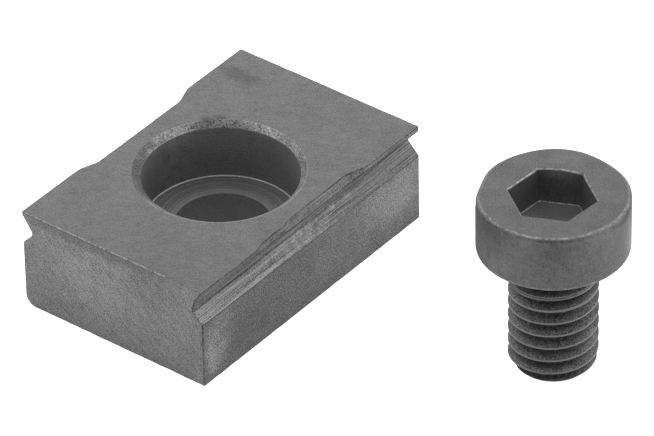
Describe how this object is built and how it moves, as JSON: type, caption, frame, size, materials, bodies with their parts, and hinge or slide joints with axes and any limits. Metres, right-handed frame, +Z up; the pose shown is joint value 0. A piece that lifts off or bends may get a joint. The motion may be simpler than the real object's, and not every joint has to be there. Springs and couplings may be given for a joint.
{
  "type": "clamping claw",
  "caption": "Flat steel clamping claw with undercut lips along both long sides and a counterbored hole, with its low-head socket screw standing beside it.",
  "frame": {"origin": "on the axis of the claw's screw hole, in the plane of its base", "axes": "+Z up along the hole, out of the head seat; Y along the claw; +X across it, from the lip over the rounded base edge to the other lip and on to the screw"},
  "size_m": [0.0363, 0.023, 0.0133],
  "materials": {
    "claw_steel": "black oxide over a ground surface, satin",
    "screw_steel": "black oxide, satin"
  },
  "bodies": {
    "root": {"claw": "claw_steel", "clamping_screw": "screw_steel"}
  },
  "joints": []
}
